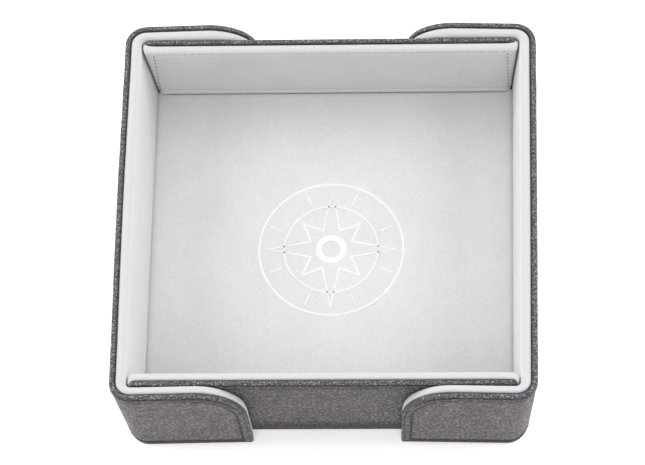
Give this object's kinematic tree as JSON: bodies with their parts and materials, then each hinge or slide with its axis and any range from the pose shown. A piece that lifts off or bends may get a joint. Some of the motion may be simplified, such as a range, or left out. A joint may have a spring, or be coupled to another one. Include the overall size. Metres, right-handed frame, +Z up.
{
  "type": "folding dice tray",
  "caption": "Square folding dice tray: velvet-lined leather panels, leaning side walls whose rounded wings turn the corners and hold the front and back flaps upright.",
  "frame": {"origin": "under the middle of the base, on the surface the tray stands on", "axes": "+Z up, +X towards the right wall, +Y towards the back flap"},
  "size_m": [0.204, 0.2066, 0.0536],
  "materials": {
    "leather": "pebbled dark grey artificial leather, satin",
    "velvet": "short-pile light grey velvet on thin foam",
    "greyboard": "matte stiff greyboard, hidden inside",
    "thread": "dark polyester sewing thread",
    "magnet": "nickel-plated disc, hidden inside"
  },
  "bodies": {
    "base": {"base_leather": "leather", "base_board": "greyboard", "base_velvet": "velvet", "left_fold_leather": "leather", "left_fold_velvet": "velvet", "right_fold_leather": "leather", "right_fold_velvet": "velvet", "front_fold_leather": "leather", "front_fold_velvet": "velvet", "back_fold_leather": "leather", "back_fold_velvet": "velvet"},
    "left_wall": {"left_wall_leather": "leather", "left_wall_board": "greyboard", "left_wall_velvet": "velvet", "left_wall_stitching": "thread", "front_left_corner_leather": "leather", "front_left_corner_velvet": "velvet", "back_left_corner_leather": "leather", "back_left_corner_velvet": "velvet"},
    "right_wall": {"right_wall_leather": "leather", "right_wall_board": "greyboard", "right_wall_velvet": "velvet", "right_wall_stitching": "thread", "front_right_corner_leather": "leather", "front_right_corner_velvet": "velvet", "back_right_corner_leather": "leather", "back_right_corner_velvet": "velvet"},
    "front_flap": {"front_flap_leather": "leather", "front_flap_board": "greyboard", "front_flap_velvet": "velvet", "front_flap_magnets": "magnet", "front_flap_stitching": "thread", "front_flap_hems": "velvet"},
    "back_flap": {"back_flap_leather": "leather", "back_flap_board": "greyboard", "back_flap_velvet": "velvet", "back_flap_magnets": "magnet", "back_flap_stitching": "thread", "back_flap_hems": "velvet"},
    "front_left_wing": {"front_left_wing_leather": "leather", "front_left_wing_board": "greyboard", "front_left_wing_velvet": "velvet", "front_left_wing_magnets": "magnet", "front_left_wing_stitching": "thread"},
    "front_right_wing": {"front_right_wing_leather": "leather", "front_right_wing_board": "greyboard", "front_right_wing_velvet": "velvet", "front_right_wing_magnets": "magnet", "front_right_wing_stitching": "thread"},
    "back_left_wing": {"back_left_wing_leather": "leather", "back_left_wing_board": "greyboard", "back_left_wing_velvet": "velvet", "back_left_wing_magnets": "magnet", "back_left_wing_stitching": "thread"},
    "back_right_wing": {"back_right_wing_leather": "leather", "back_right_wing_board": "greyboard", "back_right_wing_velvet": "velvet", "back_right_wing_magnets": "magnet", "back_right_wing_stitching": "thread"}
  },
  "joints": [
    {"name": "left_wall_fold", "type": "hinge", "parent": "base", "child": "left_wall", "pos_m": [-0.09631, 0, 0.00114], "axis": [0, -1, 0], "range_deg": [0, 84.86], "deforming": ["left_fold_leather", "left_fold_velvet"]},
    {"name": "right_wall_fold", "type": "hinge", "parent": "base", "child": "right_wall", "pos_m": [0.09631, 0, 0.00114], "axis": [0, 1, 0], "range_deg": [0, 84.86], "deforming": ["right_fold_leather", "right_fold_velvet"]},
    {"name": "front_flap_fold", "type": "hinge", "parent": "base", "child": "front_flap", "pos_m": [0, -0.08796, 0.0057], "axis": [-1, 0, 0], "range_deg": [0, 86.5], "deforming": ["front_fold_leather", "front_fold_velvet", "front_flap_hems"]},
    {"name": "back_flap_fold", "type": "hinge", "parent": "base", "child": "back_flap", "pos_m": [0, 0.08796, 0.0057], "axis": [1, 0, 0], "range_deg": [0, 86.5], "deforming": ["back_fold_leather", "back_fold_velvet", "back_flap_hems"]},
    {"name": "front_left_wing_fold", "type": "hinge", "parent": "left_wall", "child": "front_left_wing", "pos_m": [-0.09511, -0.09975, 0.0002], "axis": [0.0896, 0, -0.996], "range_deg": [0, 90], "deforming": ["front_left_corner_leather", "front_left_corner_velvet"]},
    {"name": "front_right_wing_fold", "type": "hinge", "parent": "right_wall", "child": "front_right_wing", "pos_m": [0.09511, -0.09975, 0.0002], "axis": [0.0896, 0, 0.996], "range_deg": [0, 90], "deforming": ["front_right_corner_leather", "front_right_corner_velvet"]},
    {"name": "back_left_wing_fold", "type": "hinge", "parent": "left_wall", "child": "back_left_wing", "pos_m": [-0.09511, 0.09975, 0.0002], "axis": [-0.0896, 0, 0.996], "range_deg": [0, 90], "deforming": ["back_left_corner_leather", "back_left_corner_velvet"]},
    {"name": "back_right_wing_fold", "type": "hinge", "parent": "right_wall", "child": "back_right_wing", "pos_m": [0.09511, 0.09975, 0.0002], "axis": [-0.0896, 0, -0.996], "range_deg": [0, 90], "deforming": ["back_right_corner_leather", "back_right_corner_velvet"]}
  ]
}
